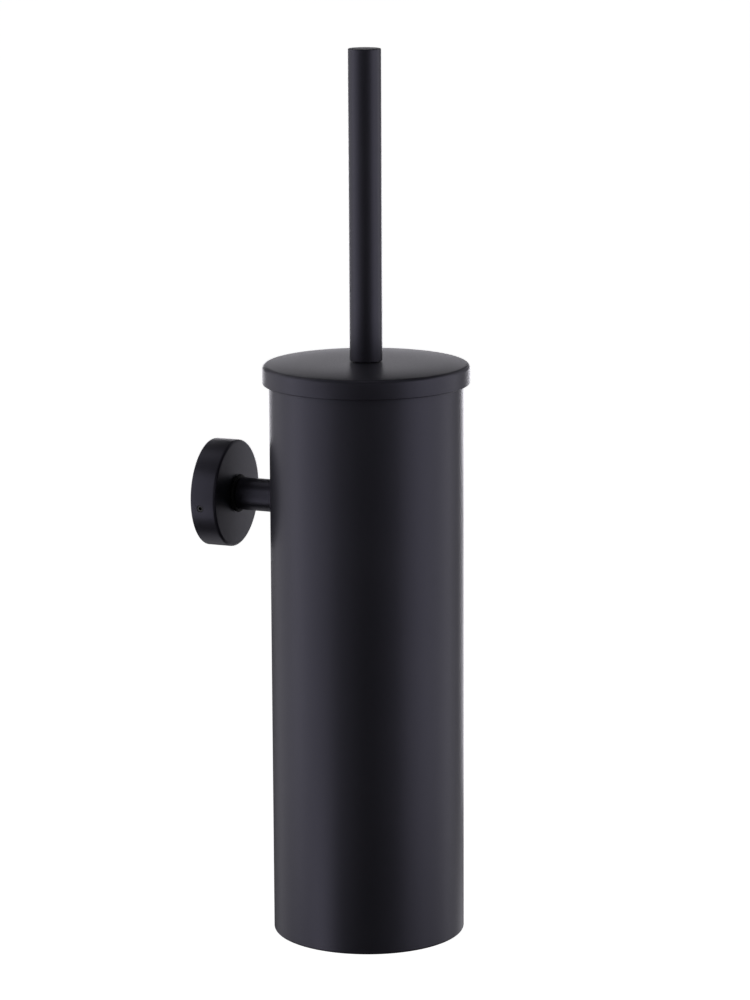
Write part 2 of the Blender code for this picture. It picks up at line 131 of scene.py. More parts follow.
# Sizes that several pieces share
GAP = 0.0003  # between pieces that touch or are welded in the real set
SHEET = 0.001  # thickness of cup and lid
SCREW_RADIUS = 0.0025  # M5
SCREW_HOLE = 0.0028  # clears an M5 screw
THREAD_HOLE = 0.0033  # takes the stem's M6 thread
PAST = 0.001  # how far a cutting tool reaches past what it cuts
CUP_CUTTER_REACH = 0.02  # above and below the arm, of a tool with the cup's curve
CORE_DOME = 0.006  # height of the brush core's domed end

UP = Vector((0, 0, 1))


# ---------------------------------------------------------------- places read from the frame


def radius_of(node):
    """Half of a round node's width, measured along the wall."""
    low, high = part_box(node)
    return (high.x - low.x) / 2


def heights_of(node):
    """Lowest and highest level of a node."""
    low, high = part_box(node)
    return low.z, high.z


def depths_of(node):
    """Nearest and farthest distance of a node from the wall."""
    low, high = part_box(node)
    return -high.y, -low.y


CUP_LOW, CUP_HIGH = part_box("cup_shell")
CUP_AXIS = Vector((0, (CUP_LOW.y + CUP_HIGH.y) / 2, 0))
CUP_RADIUS = radius_of("cup_shell")
CUP_FOOT = Vector((CUP_AXIS.x, CUP_AXIS.y, CUP_LOW.z))

# Placings of a turned mesh: upright on the cup's axis, or lying on the arm's axis with its z
# measured from the wall
UPRIGHT = Matrix.Translation(CUP_AXIS)
FROM_WALL = Matrix.Rotation(math.pi / 2, 4, "X")

# Level directions ahead of the camera and to its right
VIEW_FORWARD = Vector((math.cos(CAMERA_BEARING), math.sin(CAMERA_BEARING), 0))
VIEW_RIGHT = Vector((VIEW_FORWARD.y, -VIEW_FORWARD.x, 0))


# ---------------------------------------------------------------- shapes


def arc(centre_r, centre_z, radius, start, end, steps=8):
    """Points of a profile's arc, from the start angle to the end angle in degrees."""
    points = []
    for i in range(steps + 1):
        angle = math.radians(start + (end - start) * i / steps)
        points.append((centre_r + radius * math.cos(angle), centre_z + radius * math.sin(angle)))
    return points


def rounded(corners, steps=5):
    """A closed profile whose corners, given as (r, z, rounding), are replaced by arcs."""
    points = []
    for i, (r, z, rounding) in enumerate(corners):
        if rounding == 0:
            points.append((r, z))
            continue
        here = Vector((r, z))
        before = Vector(corners[i - 1][:2]) - here
        after = Vector(corners[(i + 1) % len(corners)][:2]) - here
        # The arc starts on the side before the corner, and its centre lies on the bisector
        half = before.angle(after) / 2
        start = here + before.normalized() * (rounding / math.tan(half))
        centre = here + (before.normalized() + after.normalized()).normalized() * (
            rounding / math.sin(half)
        )
        spoke = start - centre
        turn = math.pi - 2 * half
        side = 1 if before.x * after.y - before.y * after.x < 0 else -1
        for step in range(steps + 1):
            angle = side * turn * step / steps
            turned = Vector(
                (
                    spoke.x * math.cos(angle) - spoke.y * math.sin(angle),
                    spoke.x * math.sin(angle) + spoke.y * math.cos(angle),
                )
            )
            points.append(tuple(centre + turned))
    return points


def finished_mesh(name, made):
    """Turns a bmesh into a smooth-shaded mesh."""
    mesh = bpy.data.meshes.new(name)
    made.to_mesh(mesh)
    made.free()
    mesh.shade_smooth()
    return mesh


def lathe_mesh(name, points, steps, matrix):
    """A closed turned body from a profile of (r, z) points. A profile that doesn't start on the
    axis is joined up from its last point to its first."""
    made = bmesh.new()
    columns = []
    for r, z in points:
        if r < ON_AXIS:
            columns.append([made.verts.new((0, 0, z))])
            continue
        ring = []
        for i in range(steps):
            angle = 2 * math.pi * i / steps
            ring.append(made.verts.new((r * math.cos(angle), r * math.sin(angle), z)))
        columns.append(ring)
    pairs = list(zip(columns, columns[1:]))
    if points[0][0] > ON_AXIS:
        pairs.append((columns[-1], columns[0]))
    for upper, lower in pairs:
        for i in range(steps):
            j = (i + 1) % steps
            corners = (
                upper[i % len(upper)],
                lower[i % len(lower)],
                lower[j % len(lower)],
                upper[j % len(upper)],
            )
            face = list(dict.fromkeys(corners))
            if len(face) > 2:
                made.faces.new(face)
    bmesh.ops.recalc_face_normals(made, faces=made.faces)
    made.transform(matrix)
    mesh = finished_mesh(name, made)
    mesh.set_sharp_from_angle(angle=SHARP_ANGLE)
    return mesh


def prism_mesh(name, sides, radius, low, high, matrix):
    """A solid prism along z. With many sides it is a cylinder."""
    return lathe_mesh(name, [(0, high), (radius, high), (radius, low), (0, low)], sides, matrix)


def socket_mesh(key, floor, mouth, matrix):
    """A cutting tool for a hexagonal socket. The key is measured across its flats."""
    return prism_mesh("socket", 6, key / math.sqrt(3), floor, mouth, matrix)


def carved(mesh, tools, operation="DIFFERENCE"):
    """The mesh after an exact Boolean with each of the tool meshes."""
    obj = bpy.data.objects.new("carving", mesh)
    bpy.context.scene.collection.objects.link(obj)
    helpers = []
    for tool in tools:
        helper = bpy.data.objects.new("tool", tool)
        bpy.context.scene.collection.objects.link(helper)
        helpers.append(helper)
        modifier = obj.modifiers.new("cut", "BOOLEAN")
        modifier.operation = operation
        modifier.solver = "EXACT"
        modifier.object = helper
    bpy.context.view_layer.update()
    graph = bpy.context.evaluated_depsgraph_get()
    result = bpy.data.meshes.new_from_object(obj.evaluated_get(graph))
    result.name = mesh.name + "_carved"
    for helper in helpers + [obj]:
        bpy.data.objects.remove(helper)
    result.shade_smooth()
    result.set_sharp_from_angle(angle=SHARP_ANGLE)
    return result


# ---------------------------------------------------------------- materials


class Nodes:
    """Short calls for building one material's node tree."""

    LOW_NOISE = 0.3
    HIGH_NOISE = 0.7

    def __init__(self, name):
        self.material = bpy.data.materials.new(name)
        self.material.use_nodes = True
        self.tree = self.material.node_tree
        self.shader = self.tree.nodes["Principled BSDF"]
        self.place = self.tree.nodes.new("ShaderNodeTexCoord").outputs["Object"]

    def node(self, kind, **inputs):
        """A new node with values for its inputs, whose names are written with underscores."""
        made = self.tree.nodes.new(kind)
        for key, value in inputs.items():
            made.inputs[key.replace("_", " ")].default_value = value
        return made

    def link(self, source, target):
        self.tree.links.new(source, target)

    def noise(self, scale, detail, roughness=0.5, stretch=None):
        """A noise over the piece's own coordinates, which the stretch multiplies."""
        node = self.node("ShaderNodeTexNoise", Scale=scale, Detail=detail, Roughness=roughness)
        source = self.place
        if stretch:
            mapping = self.node("ShaderNodeMapping", Scale=stretch)
            self.link(self.place, mapping.inputs["Vector"])
            source = mapping.outputs["Vector"]
        self.link(source, node.inputs["Vector"])
        return node.outputs["Fac"]

    def colour(self, value, start, end, dark, light):
        """Base colour that goes from dark to light as the value runs from start to end."""
        node = self.node("ShaderNodeValToRGB")
        first, second = node.color_ramp.elements
        first.position = start
        first.color = (*dark, 1)
        second.position = end
        second.color = (*light, 1)
        self.link(value, node.inputs["Fac"])
        self.link(node.outputs["Color"], self.shader.inputs["Base Color"])

    def roughness(self, value, low, high):
        """Roughness from low to high over the range where a noise mostly lies."""
        node = self.node("ShaderNodeMapRange", From_Min=self.LOW_NOISE, From_Max=self.HIGH_NOISE)
        node.inputs["To Min"].default_value = low
        node.inputs["To Max"].default_value = high
        self.link(value, node.inputs["Value"])
        self.link(node.outputs["Result"], self.shader.inputs["Roughness"])

    def bump(self, height, distance, strength):
        """Lays a relief over the reliefs that the shader already has."""
        node = self.node("ShaderNodeBump", Distance=distance, Strength=strength)
        self.link(height, node.inputs["Height"])
        normal = self.shader.inputs["Normal"]
        if normal.is_linked:
            self.link(normal.links[0].from_socket, node.inputs["Normal"])
        self.link(node.outputs["Normal"], normal)

    def set(self, **values):
        """Sets the shader's own inputs, whose names are written with underscores."""
        for key, value in values.items():
            self.shader.inputs[key.replace("_", " ")].default_value = value


def powder_coat():
    """Matt black powder coat: a very fine pebbled skin with a faint cool cast."""
    nodes = Nodes("powder_coat")
    cloud = nodes.noise(scale=14, detail=3)
    grain = nodes.noise(scale=2600, detail=2, roughness=0.6)
    peel = nodes.noise(scale=420, detail=2)
    nodes.colour(
        cloud, 0.35, 0.65, dark=(0.0150, 0.0148, 0.0180), light=(0.0190, 0.0186, 0.0225)
    )
    nodes.roughness(grain, low=0.35, high=0.43)
    nodes.bump(peel, distance=0.00002, strength=0.5)
    nodes.bump(grain, distance=0.00001, strength=0.6)
    nodes.set(Specular_IOR_Level=0.55, IOR=1.5, Specular_Tint=(0.80, 0.78, 1.0, 1))
    return nodes.material


def moulded_plastic(name, dark, light, roughness):
    """Injection-moulded plastic with a faint spark-eroded texture."""
    nodes = Nodes(name)
    cloud = nodes.noise(scale=30, detail=2)
    texture = nodes.noise(scale=1800, detail=2, roughness=0.6)
    nodes.colour(cloud, 0.35, 0.65, dark, light)
    nodes.roughness(texture, low=roughness - 0.05, high=roughness + 0.06)
    nodes.bump(texture, distance=0.00001, strength=0.6)
    nodes.set(IOR=1.49)
    return nodes.material


def matt_rubber():
    """Black rubber with a fine moulded bloom."""
    nodes = Nodes("black_rubber")
    bloom = nodes.noise(scale=240, detail=3, roughness=0.6)
    grain = nodes.noise(scale=2200, detail=2, roughness=0.6)
    nodes.colour(bloom, 0.35, 0.7, dark=(0.007, 0.007, 0.007), light=(0.013, 0.013, 0.013))
    nodes.roughness(bloom, low=0.6, high=0.75)
    nodes.bump(grain, distance=0.00001, strength=0.6)
    nodes.set(IOR=1.52, Specular_IOR_Level=0.2)
    return nodes.material


def turned_steel(name, dark, light):
    """Steel with fine lines that run round the upright axis, as if turned on it."""
    nodes = Nodes(name)
    lines = nodes.noise(scale=60, detail=3, roughness=0.6, stretch=(4, 4, 120))
    nodes.colour(lines, 0.3, 0.7, dark, light)
    nodes.roughness(lines, low=0.24, high=0.38)
    nodes.bump(lines, distance=0.00001, strength=0.4)
    nodes.set(Metallic=1.0)
    return nodes.material


def cast_zinc():
    """Bare zinc casting, dull and slightly blotched."""
    nodes = Nodes("cast_zinc")
    blotch = nodes.noise(scale=120, detail=4, roughness=0.6)
    skin = nodes.noise(scale=1500, detail=3, roughness=0.6)
    nodes.colour(blotch, 0.3, 0.7, dark=(0.33, 0.33, 0.34), light=(0.45, 0.45, 0.46))
    nodes.roughness(blotch, low=0.42, high=0.6)
    nodes.bump(skin, distance=0.00002, strength=0.6)
    nodes.set(Metallic=1.0)
    return nodes.material


def bristle_nylon():
    """Black nylon filament: satin, some strands a little lighter."""
    nodes = Nodes("bristle_nylon")
    strands = nodes.noise(scale=900, detail=2, roughness=0.6)
    nodes.colour(strands, 0.35, 0.7, dark=(0.012, 0.012, 0.013), light=(0.034, 0.034, 0.037))
    nodes.roughness(strands, low=0.28, high=0.42)
    nodes.set(IOR=1.53)
    return nodes.material


MATERIALS = {
    "powder_coat": powder_coat(),
    "black_rubber": matt_rubber(),
    "black_plastic": moulded_plastic(
        "black_plastic", dark=(0.012, 0.012, 0.013), light=(0.017, 0.017, 0.019), roughness=0.42
    ),
    "liner_plastic": moulded_plastic(
        "liner_plastic", dark=(0.018, 0.018, 0.020), light=(0.026, 0.026, 0.029), roughness=0.5
    ),
    "steel": turned_steel("turned_steel", dark=(0.50, 0.49, 0.48), light=(0.62, 0.61, 0.60)),
    "black_steel": turned_steel(
        "black_steel", dark=(0.034, 0.034, 0.035), light=(0.055, 0.055, 0.057)
    ),
    "zinc": cast_zinc(),
    "bristles": bristle_nylon(),
}


def new_piece(name, mesh, body, slot_name, node):
    """Files a finished mesh as a piece that rides on a body and stands for a CAD node."""
    obj = bpy.data.objects.new(name, mesh)
    bpy.context.scene.collection.objects.link(obj)
    mesh.materials.clear()
    mesh.materials.append(MATERIALS[slot_name])
    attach(obj, body)
    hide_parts(node)


# ---------------------------------------------------------------- holder


def cup_shell():
    """The cup's tube, with a round rim, a rounded foot that turns in to a lip, and the hole for
    the screw into the arm."""
    low, high = heights_of("cup_shell")
    near = depths_of("cup_shell")[0]
    lip = 0.0388
    rim = SHEET / 2
    bore = CUP_RADIUS - SHEET
    points = arc(CUP_RADIUS - rim, high - rim, rim, 180, 0)
    points += arc(bore, low + SHEET, SHEET, 0, -90)
    points += [(lip, low), (lip, low + SHEET), (bore, low + SHEET)]
    mesh = lathe_mesh("cup_shell_fine", points, ROUND_STEPS, UPRIGHT)
    hole = prism_mesh(
        "hole", HOLE_STEPS, SCREW_HOLE, near - 2 * PAST, near + SHEET + 2 * PAST, FROM_WALL
    )
    new_piece("cup_tube", carved(mesh, [hole]), "holder", "powder_coat", "cup_shell")


def cup_base():
    low, high = heights_of("cup_base")
    radius = radius_of("cup_base")
    edge = 0.0002
    points = rounded([(0, high, 0), (radius, high, edge), (radius, low, edge), (0, low, 0)])
    mesh = lathe_mesh("cup_base_fine", points, ROUND_STEPS, UPRIGHT)
    new_piece("cup_bottom_disc", mesh, "holder", "powder_coat", "cup_base")


def grub_place():
    """Placing of the grub screw: from the rose's axis out through its rim."""
    low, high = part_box("rose_grub_screw")
    centre = (low + high) / 2
    outward = Vector((centre.x, 0, centre.z)).normalized()
    turn = UP.rotation_difference(outward).to_matrix().to_4x4()
    return Matrix.Translation((0, centre.y, 0)) @ turn


def rose_cover():
    """The rose: a cap over the bracket, drilled for the arm's screw and the grub screw."""
    near, far = depths_of("rose_cover")
    radius = radius_of("rose_cover")
    bore = radius_of("wall_bracket") + 0.00035
    inner_face = far - 0.0015
    front_edge = 0.0012
    back_edge = 0.0004
    drill_radius = 0.0016
    points = rounded(
        [
            (SCREW_HOLE, far, 0),
            (radius, far, front_edge),
            (radius, near, back_edge),
            (bore, near, 0),
            (bore, inner_face, 0),
            (SCREW_HOLE, inner_face, 0),
        ],
        steps=8,
    )
    mesh = lathe_mesh("rose_fine", points, ROUND_STEPS, FROM_WALL)
    drill = prism_mesh("drill", HOLE_STEPS, drill_radius, bore - PAST, radius + PAST, grub_place())
    new_piece("rose", carved(mesh, [drill]), "holder", "powder_coat", "rose_cover")


def rose_grub_screw():
    """An M3 headless screw with a conical point, sunk a little below the rose's rim."""
    outer_end = radius_of("rose_cover") - 0.0002
    radius = 0.0015
    length = 0.004
    cone = 0.0008
    edge = 0.0002
    key = 0.0015
    key_depth = 0.0014
    points = rounded(
        [
            (0, outer_end, 0),
            (radius, outer_end, edge),
            (radius, outer_end - length + cone, 0),
            (radius - cone, outer_end - length, 0),
            (0, outer_end - length, 0),
        ]
    )
    screw = lathe_mesh("grub_fine", points, HOLE_STEPS, grub_place())
    socket = socket_mesh(key, outer_end - key_depth, outer_end + PAST, grub_place())
    mesh = carved(screw, [socket])
    new_piece("grub_screw", mesh, "holder", "black_steel", "rose_grub_screw")


def wall_bracket():
    """The zinc puck on the wall. Its rim has a groove for the grub screw, its front a pocket that
    clears the rose's screw, and two stepped holes take the wall screws."""
    near, far = depths_of("wall_bracket")
    radius = radius_of("wall_bracket")
    pocket_radius = 0.006
    pocket_floor = 0.0055
    groove_low = 0.0022
    groove_high = 0.0070
    groove_radius = radius - 0.0015
    slope = 0.0013
    front_edge = 0.0007
    edge = 0.0003
    fine_edge = 0.0002
    screw_offset = 0.011
    hole = 0.0023
    head_hole = 0.0043
    head_hole_floor = 0.0045
    outline = rounded(
        [
            (0, pocket_floor, 0),
            (pocket_radius, pocket_floor, 0),
            (pocket_radius, far, edge),
            (radius, far, front_edge),
            (radius, groove_high, fine_edge),
            (groove_radius, groove_high - slope, edge),
            (groove_radius, groove_low + slope, edge),
            (radius, groove_low, fine_edge),
            (radius, near, fine_edge),
            (0, near, 0),
        ]
    )
    mesh = lathe_mesh("bracket_fine", outline, SMALL_ROUND_STEPS, FROM_WALL)
    stepped = [(0, far + 2 * PAST), (head_hole, far + 2 * PAST), (head_hole, head_hole_floor)]
    stepped += [(hole, head_hole_floor), (hole, near - PAST), (0, near - PAST)]
    tools = []
    for side in (-1, 1):
        place = FROM_WALL @ Matrix.Translation((0, side * screw_offset, 0))
        tools.append(lathe_mesh("screw_hole", stepped, HOLE_STEPS, place))
    new_piece("bracket_puck", carved(mesh, tools), "holder", "zinc", "wall_bracket")


def arm_collar():
    near, far = depths_of("arm_collar")
    radius = radius_of("arm_collar")
    edge = 0.0007
    points = rounded(
        [(SCREW_HOLE, far, 0), (radius, far, edge), (radius, near, edge), (SCREW_HOLE, near, 0)]
    )
    mesh = lathe_mesh("collar_fine", points, SMALL_ROUND_STEPS, FROM_WALL)
    new_piece("collar", mesh, "holder", "black_rubber", "arm_collar")


def support_arm():
    """The arm, drilled from both ends up to a web, with its end hollowed to the cup's curve."""
    near = depths_of("support_arm")[0]
    radius = radius_of("support_arm")
    reach = depths_of("cup_shell")[0] + PAST
    web_near = 0.0225
    web_far = 0.0245
    edge = 0.0004
    points = rounded(
        [
            (0, web_far, 0),
            (SCREW_HOLE, web_far, 0),
            (SCREW_HOLE, reach, 0),
            (radius, reach, 0),
            (radius, near, edge),
            (SCREW_HOLE, near, 0),
            (SCREW_HOLE, web_near, 0),
            (0, web_near, 0),
        ]
    )
    mesh = lathe_mesh("arm_fine", points, SMALL_ROUND_STEPS, FROM_WALL)
    curve = CUP_RADIUS + GAP / 2
    cope = prism_mesh("cope", CUTTER_STEPS, curve, -CUP_CUTTER_REACH, CUP_CUTTER_REACH, UPRIGHT)
    new_piece("arm", carved(mesh, [cope]), "holder", "powder_coat", "support_arm")


def headed_screw(name, node, head, faces_wall):
    """An M5 screw with a round head and a hexagonal socket, its head at the end that faces the
    wall or at the other."""
    near, far = depths_of(node)
    head_radius = radius_of(node)
    length = far - near - head
    head_edge = 0.0006
    under_edge = 0.0001
    point_edge = 0.0004
    key = 0.003
    socket_floor = head * 0.4
    if faces_wall:
        under_head = FROM_WALL @ Matrix.Translation((0, 0, near + head))
        matrix = under_head @ Matrix.Rotation(math.pi, 4, "X")
    else:
        matrix = FROM_WALL @ Matrix.Translation((0, 0, far - head))
    points = rounded(
        [
            (0, head, 0),
            (head_radius, head, head_edge),
            (head_radius, 0, under_edge),
            (SCREW_RADIUS, 0, 0),
            (SCREW_RADIUS, -length, point_edge),
            (0, -length, 0),
        ]
    )
    mesh = lathe_mesh(name, points, FITTING_STEPS, matrix)
    socket = socket_mesh(key, socket_floor, head + PAST, matrix)
    new_piece(name, carved(mesh, [socket]), "holder", "steel", node)


def saddle_washer():
    """The washer under the cup's screw, curved to the cup's inner wall."""
    near, far = depths_of("cup_saddle_washer")
    radius = radius_of("cup_saddle_washer")
    behind = near - PAST
    points = [(SCREW_HOLE, far), (radius, far), (radius, behind), (SCREW_HOLE, behind)]
    mesh = lathe_mesh("washer_fine", points, FITTING_STEPS, FROM_WALL)
    inside = CUP_RADIUS - SHEET - GAP
    curve = prism_mesh("curve", CUTTER_STEPS, inside, -CUP_CUTTER_REACH, CUP_CUTTER_REACH, UPRIGHT)
    mesh = carved(mesh, [curve], "INTERSECT")
    new_piece("saddle_washer", mesh, "holder", "steel", "cup_saddle_washer")


# ---------------------------------------------------------------- inner cup and lid


def inner_cup():
    """The lift-out cup, with a rim flange that rests on the outer cup and a rounded foot."""
    low, high = heights_of("inner_cup")
    flange = radius_of("inner_cup")
    outer = 0.0377
    wall = 0.0014
    under = high - 0.0012
    bore = outer - wall
    foot_edge = 0.004
    rim_edge = 0.0005
    under_edge = 0.0003
    points = rounded(
        [
            (0, low + wall, 0),
            (bore, low + wall, foot_edge - wall),
            (bore, high, rim_edge),
            (flange, high, rim_edge),
            (flange, under, under_edge),
            (outer, under, under_edge),
            (outer, low, foot_edge),
            (0, low, 0),
        ],
        steps=8,
    )
    mesh = lathe_mesh("liner_fine", points, ROUND_STEPS, UPRIGHT)
    new_piece("liner", mesh, "liner", "liner_plastic", "inner_cup")


def lid():
    """The lid. Its crown is nearly flat in the middle and falls towards the edge as a power of
    the radius, down to the tilt at which the edge's rounding takes over."""
    skirt, apex = heights_of("lid")
    radius = radius_of("lid")
    hole = 0.005
    fillet = 0.002
    edge_tilt = math.radians(5.8)
    power = 4
    crown_steps = 40
    edge_steps = 10
    across = radius - fillet
    span = across + fillet * math.sin(edge_tilt)
    rise = span * math.tan(edge_tilt) / power
    centre_z = apex - rise - fillet * math.cos(edge_tilt)

    def outline(inset):
        """The profile from the hole to where the skirt starts, moved in by the inset."""
        points = []
        for i in range(crown_steps):
            r = hole + (span - hole) * i / crown_steps
            share = r / span
            tilt = math.atan(math.tan(edge_tilt) * share ** (power - 1))
            height = apex - rise * share**power
            points.append((r - inset * math.sin(tilt), height - inset * math.cos(tilt)))
        top = 90 - math.degrees(edge_tilt)
        points += arc(across, centre_z, fillet - inset, top, 0, edge_steps)
        return points

    hem = arc(radius - SHEET / 2, skirt + SHEET / 2, SHEET / 2, 0, -180)
    points = outline(0) + hem + outline(SHEET)[::-1]
    mesh = lathe_mesh("lid_fine", points, ROUND_STEPS, UPRIGHT)
    new_piece("lid_cover", mesh, "cover", "powder_coat", "lid")


def lid_bush():
    """The bush that the stem turns in: a sleeve through the lid under a thin flange."""
    low, high = heights_of("lid_bush")
    flange = radius_of("lid_bush")
    bore = 0.0034
    sleeve = 0.0047
    under = high - 0.001
    fine_edge = 0.0002
    flange_edge = 0.0003
    lead_in = 0.0004
    points = rounded(
        [
            (bore, high, fine_edge),
            (flange, high, flange_edge),
            (flange, under, fine_edge),
            (sleeve, under, 0),
            (sleeve, low, lead_in),
            (bore, low, fine_edge),
        ]
    )
    mesh = lathe_mesh("bush_fine", points, SMALL_ROUND_STEPS, UPRIGHT)
    new_piece("bush", mesh, "cover", "black_plastic", "lid_bush")


# ---------------------------------------------------------------- brush


def handle_tube():
    """The handle: a tube closed at its top."""
    low, high = heights_of("handle_tube")
    radius = radius_of("handle_tube")
    bore = radius - 0.0012
    under_cap = high - 0.002
    top_edge = 0.0005
    foot_edge = 0.0002
    points = rounded(
        [
            (0, high, 0),
            (radius, high, top_edge),
            (radius, low, foot_edge),
            (bore, low, 0),
            (bore, under_cap, 0),
            (0, under_cap, 0),
        ],
        steps=6,
    )
    mesh = lathe_mesh("handle_fine", points, SMALL_ROUND_STEPS, UPRIGHT)
    new_piece("handle", mesh, "brush", "powder_coat", "handle_tube")


def stem_ring(name, node, edge):
    """A steel ring round the stem's thread."""
    low, high = heights_of(node)
    radius = radius_of(node)
    points = rounded(
        [
            (THREAD_HOLE, high, edge),
            (radius, high, edge),
            (radius, low, edge),
            (THREAD_HOLE, low, edge),
        ],
        steps=3,
    )
    mesh = lathe_mesh(name, points, FITTING_STEPS, UPRIGHT)
    new_piece(name, mesh, "brush", "steel", node)


def stem_rod():
    """The stem: a smooth rod with an M6 thread cut on its two thinner ends."""
    low, high = heights_of("stem_rod")
    rod = radius_of("stem_rod")
    shoulder = heights_of("lock_nut")[0] - GAP
    foot = heights_of("head_core")[1] + GAP
    crest = 0.003
    depth = 0.00035
    pitch = 0.001
    tip = crest - 0.0006
    lead_in = 0.0005
    edge = 0.0003
    steps = 48
    rings_per_turn = 6
    body = bmesh.new()
    rings = []

    def add_ring(z, radius, ridge=0):
        """A ring of points, pressed in by up to the ridge's depth where the thread winds down."""
        ring = []
        for i in range(steps):
            angle = 2 * math.pi * i / steps
            phase = (z / pitch - i / steps) % 1.0
            r = radius - ridge * abs(2 * phase - 1)
            ring.append(body.verts.new((r * math.cos(angle), r * math.sin(angle), z)))
        rings.append(ring)

    def add_thread(start, end):
        count = int((start - end) / pitch * rings_per_turn)
        for i in range(count + 1):
            add_ring(start - (start - end) * i / count, crest, depth)

    add_ring(high, tip)
    add_thread(high - lead_in, shoulder + lead_in)
    add_ring(shoulder, crest - depth)
    add_ring(shoulder, rod - edge)
    add_ring(shoulder - edge, rod)
    add_ring(foot + edge, rod)
    add_ring(foot, rod - edge)
    add_ring(foot, crest - depth)
    add_thread(foot - lead_in, low + lead_in)
    add_ring(low, tip)
    for upper, lower in zip(rings, rings[1:]):
        for i in range(steps):
            j = (i + 1) % steps
            body.faces.new((upper[i], lower[i], lower[j], upper[j]))
    body.faces.new(rings[0])
    body.faces.new(rings[-1][::-1])
    bmesh.ops.recalc_face_normals(body, faces=body.faces)
    body.transform(UPRIGHT)
    mesh = finished_mesh("stem", body)
    mesh.set_sharp_from_angle(angle=SHARP_ANGLE)
    new_piece("stem", mesh, "brush", "steel", "stem_rod")


def lock_nut():
    """A hexagonal nut with its corners chamfered at both ends."""
    low, high = heights_of("lock_nut")
    corner = radius_of("lock_nut")
    chamfer = 0.0006
    flat = corner * 0.9
    wide = corner * 1.05
    hexagon = prism_mesh("hexagon", 6, corner, low, high, UPRIGHT)
    cone = [(0, high), (flat, high), (wide, high - chamfer)]
    cone += [(wide, low + chamfer), (flat, low), (0, low)]
    bevel = lathe_mesh("chamfer", cone, FITTING_STEPS, UPRIGHT)
    bore = prism_mesh("bore", HOLE_STEPS, THREAD_HOLE, low - PAST, high + PAST, UPRIGHT)
    mesh = carved(carved(hexagon, [bevel], "INTERSECT"), [bore])
    new_piece("nut", mesh, "brush", "steel", "lock_nut")


def head_core():
    """The brush head's core: a grooved neck with a threaded hole, and a barrel with a domed end."""
    low, high = heights_of("head_core")
    barrel = radius_of("head_core")
    hole_floor = high - 0.014
    neck = 0.0075
    neck_edge = 0.0005
    neck_end = high - 0.0067
    cone = 0.004
    dome_steps = 16
    points = [(0, hole_floor), (THREAD_HOLE, hole_floor), (THREAD_HOLE, high)]
    points += [(neck - neck_edge, high), (neck, high - neck_edge)]
    grooves = 4
    first_groove = high - 0.0016
    groove_pitch = 0.0012
    groove = neck - 0.0004
    slope = 0.0003
    for i in range(grooves):
        top = first_groove - i * groove_pitch
        points += [(neck, top), (groove, top - slope)]
        points += [(groove, top - 2 * slope), (neck, top - 3 * slope)]
    points += [(neck, neck_end), (barrel, neck_end - cone)]
    for i in range(dome_steps):
        angle = math.pi / 2 * i / dome_steps
        points.append((barrel * math.cos(angle), low + CORE_DOME - CORE_DOME * math.sin(angle)))
    points.append((0, low))
    mesh = lathe_mesh("core_fine", points, SMALL_ROUND_STEPS, UPRIGHT)
    new_piece("brush_core", mesh, "brush", "black_plastic", "head_core")


def add_strand(body, root, direction, length, bend):
    """One bristle: a thin tapered tube that bows towards the bend vector."""
    radius = 0.00017
    taper = 0.25
    sections = 4
    sides = 4
    across = direction.cross(UP if abs(direction.z) < 0.9 else Vector((1, 0, 0))).normalized()
    over = direction.cross(across).normalized()
    previous = None
    for i in range(sections + 1):
        t = i / sections
        centre = root + direction * (length * t) + bend * (t * t)
        width = radius * (1 - taper * t)
        ring = []
        for k in range(sides):
            angle = 2 * math.pi * k / sides
            offset = across * math.cos(angle) + over * math.sin(angle)
            ring.append(body.verts.new(centre + offset * width))
        if previous:
            for k in range(sides):
                m = (k + 1) % sides
                body.faces.new((previous[k], previous[m], ring[m], ring[k]))
        else:
            body.faces.new(ring[::-1])
        previous = ring
    body.faces.new(previous)


def tuft(body, draw, centre, outward, length, fan_up, fan_side, bow, strands):
    """A fan of bristles from one hole in the core, set out in a golden-angle spiral."""
    hole = 0.0011
    golden_turn = 0.381966
    stray = 0.012
    shortest = 0.975
    side = outward.cross(UP)
    if side.length < 0.1:
        side = Vector((1, 0, 0))
    side.normalize()
    lift = side.cross(outward).normalized()
    for i in range(strands):
        angle = 2 * math.pi * (i * golden_turn)
        share = math.sqrt((i + 0.5) / strands)
        a = share * math.cos(angle)
        b = share * math.sin(angle)
        root = centre + side * (hole * a) + lift * (hole * b)
        direction = outward + side * (fan_side * a) + lift * (fan_up * b)
        direction += Vector([draw.uniform(-stray, stray) for _ in range(3)])
        direction.normalize()
        bend = Vector([draw.uniform(-1, 1) * bow for _ in range(3)])
        size = length * draw.uniform(shortest, 1.0)
        add_strand(body, root, direction, size, bend)


def bristle_rows():
    """Nine rows of tufts round the core, every other row turned by half a tuft. A tuft fans out a
    little past its own row, so that the rows run into each other."""
    draw = random.Random(7)
    core = radius_of("head_core")
    rows = 9
    per_row = 16
    root_depth = 0.0012
    overlap = 1.3
    for row in range(1, rows + 1):
        node = f"bristle_row_{row:02d}"
        low, high = heights_of(node)
        middle = (low + high) / 2
        half = (high - low) / 2 - GAP
        length = radius_of(node) - core + root_depth - GAP
        fan_up = half / length * overlap
        body = bmesh.new()
        for i in range(per_row):
            angle = 2 * math.pi * (i + 0.5 * (row % 2)) / per_row
            outward = Vector((math.cos(angle), math.sin(angle), 0))
            centre = CUP_AXIS + Vector((0, 0, middle)) + outward * (core - root_depth)
            tuft(body, draw, centre, outward, length, fan_up, fan_side=0.17, bow=0.0005, strands=26)
        mesh = finished_mesh(f"tufts_{row:02d}", body)
        new_piece(f"tufts_{row:02d}", mesh, "brush", "bristles", node)


